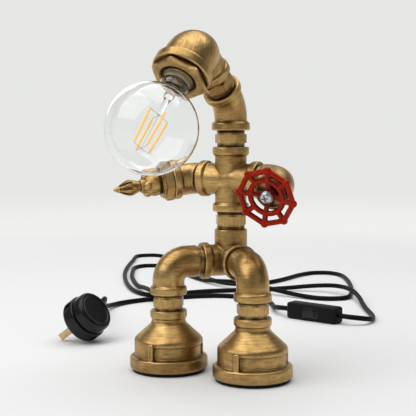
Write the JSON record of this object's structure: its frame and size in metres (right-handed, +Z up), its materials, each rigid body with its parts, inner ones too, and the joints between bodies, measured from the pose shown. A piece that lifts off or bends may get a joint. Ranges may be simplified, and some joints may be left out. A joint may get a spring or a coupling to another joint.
{
  "type": "industrial pipe table lamp",
  "caption": "Table lamp built from aged brass pipe fittings as a standing figure, with a tilting globe lamp head, a red handwheel hand and a mains lead.",
  "frame": {"origin": "on the table, under the axis of the upright body pipe, between the heels of the two feet", "axes": "+Z up along the body pipe, -Y the figure's front, +X the side of the handwheel"},
  "size_m": [0.6125, 0.876, 0.3408],
  "materials": {
    "aged_brass": "antique brushed brass, dark in the recesses",
    "rubber_black": "matt",
    "paint_red": "satin red paint on a cast wheel",
    "zinc_steel": "zinc plated",
    "cap_brass": "bright",
    "clear_glass": "clear",
    "filament_amber": "amber phosphor coating",
    "wire_nickel": "drawn wire",
    "holder_black": "matt thermoset",
    "pin_brass": "plain machined brass",
    "cord_black": "smooth flexible sheath",
    "switch_black": "fine matt moulding",
    "plug_black": "semi-gloss moulding",
    "fuse_ceramic": "glazed ceramic tube with metal ends"
  },
  "bodies": {
    "body": {"left_foot_pad": "rubber_black", "right_foot_pad": "rubber_black", "left_foot": "aged_brass", "right_foot": "aged_brass", "left_leg_nipple": "aged_brass", "right_leg_nipple": "aged_brass", "left_leg_elbow": "aged_brass", "right_leg_elbow": "aged_brass", "hip_corner": "aged_brass", "waist_nipple": "aged_brass", "chest_cross": "aged_brass", "neck_nipple": "aged_brass", "cord_gland": "cord_black", "body_flex": "cord_black", "lead_to_lamp": "cord_black", "lead_to_plug": "cord_black", "switch_back": "switch_black", "switch_front": "switch_black", "switch_contacts": "pin_brass", "switch_screws": "zinc_steel", "plug_base": "plug_black", "plug_cover": "plug_black", "live_pin": "pin_brass", "neutral_pin": "pin_brass", "earth_pin": "pin_brass", "pin_sleeves": "plug_black", "plug_fuse": "fuse_ceramic", "fuse_clips": "pin_brass", "plug_cord_grip": "plug_black", "plug_screw": "zinc_steel"},
    "head": {"neck_bend": "aged_brass", "head_nipple": "aged_brass", "head_elbow": "aged_brass", "head_bush": "aged_brass", "lampholder_skirt": "holder_black", "lampholder_block": "holder_black", "lampholder_sleeve": "pin_brass", "lampholder_contact": "pin_brass", "head_flex": "cord_black"},
    "lamp": {"lamp_cap": "cap_brass", "lamp_cap_tip": "cap_brass", "lamp_globe": "clear_glass", "lamp_stem": "clear_glass", "lamp_filaments": "filament_amber", "lamp_wires": "wire_nickel"},
    "left_arm": {"left_arm_elbow": "aged_brass", "hand_bush": "aged_brass", "hand_knuckle": "aged_brass", "hand_finial": "aged_brass"},
    "right_arm": {"right_arm_elbow": "aged_brass", "wheel_plug": "aged_brass"},
    "wheel": {"wheel_spindle": "zinc_steel", "handwheel": "paint_red", "wheel_washer": "zinc_steel", "wheel_screw": "zinc_steel"},
    "rocker": {"switch_rocker": "switch_black"}
  },
  "joints": [
    {"name": "head_swivel", "type": "hinge", "parent": "body", "child": "head", "pos_m": [0, 0, 0.2437], "axis": [0, 0, 1], "range_deg": [-40, 40]},
    {"name": "lamp_unscrew", "type": "slide", "parent": "head", "child": "lamp", "axis": [-0.0765, -0.6712, -0.7373], "range_m": [0, 0.03]},
    {"name": "left_shoulder", "type": "hinge", "parent": "body", "child": "left_arm", "pos_m": [0, 0, 0.1937], "axis": [-1, 0, 0], "range_deg": [-45, 45]},
    {"name": "right_shoulder", "type": "hinge", "parent": "body", "child": "right_arm", "pos_m": [0, 0, 0.1937], "axis": [1, 0, 0], "range_deg": [-45, 45]},
    {"name": "handwheel_spin", "type": "hinge", "parent": "right_arm", "child": "wheel", "pos_m": [0.0595, -0.04375, 0.17949], "axis": [0, -0.9511, -0.309], "continuous": true},
    {"name": "rocker_tilt", "type": "hinge", "parent": "body", "child": "rocker", "pos_m": [-0.01318, 0.25812, 0.0105], "axis": [0, 0, -1], "range_deg": [0, 16]}
  ]
}
